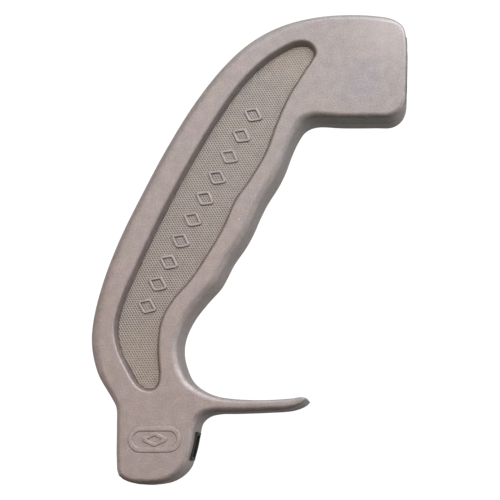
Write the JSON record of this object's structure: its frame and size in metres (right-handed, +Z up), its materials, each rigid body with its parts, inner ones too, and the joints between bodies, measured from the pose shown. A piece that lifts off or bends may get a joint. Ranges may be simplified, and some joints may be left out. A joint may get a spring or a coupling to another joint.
{
  "type": "take-down bow saw handle",
  "caption": "Curved pistol-grip handle of a take-down bow saw, with a socket for a flat spine bar, a blade slot and a cast finger guard.",
  "frame": {"origin": "centre of the spine socket's mouth, on the head's front face and the handle's middle plane", "axes": "+X forwards, out of the socket, the way the spine bar and the blade leave the handle; +Z up, from foot to head; Y across the thickness, with the handle symmetric about Y = 0 except for the blind pin bores, which open at +Y"},
  "size_m": [0.1178, 0.018, 0.1726],
  "materials": {
    "cast_aluminium": "matt, tumbled die casting",
    "black_nylon": "matt",
    "pin_steel": "ground"
  },
  "bodies": {
    "root": {"handle_casting": "cast_aluminium", "spine_socket_sleeve": "black_nylon", "spine_stop_pin": "pin_steel", "blade_slot_sleeve": "black_nylon", "blade_anchor_pin": "pin_steel"}
  },
  "joints": []
}
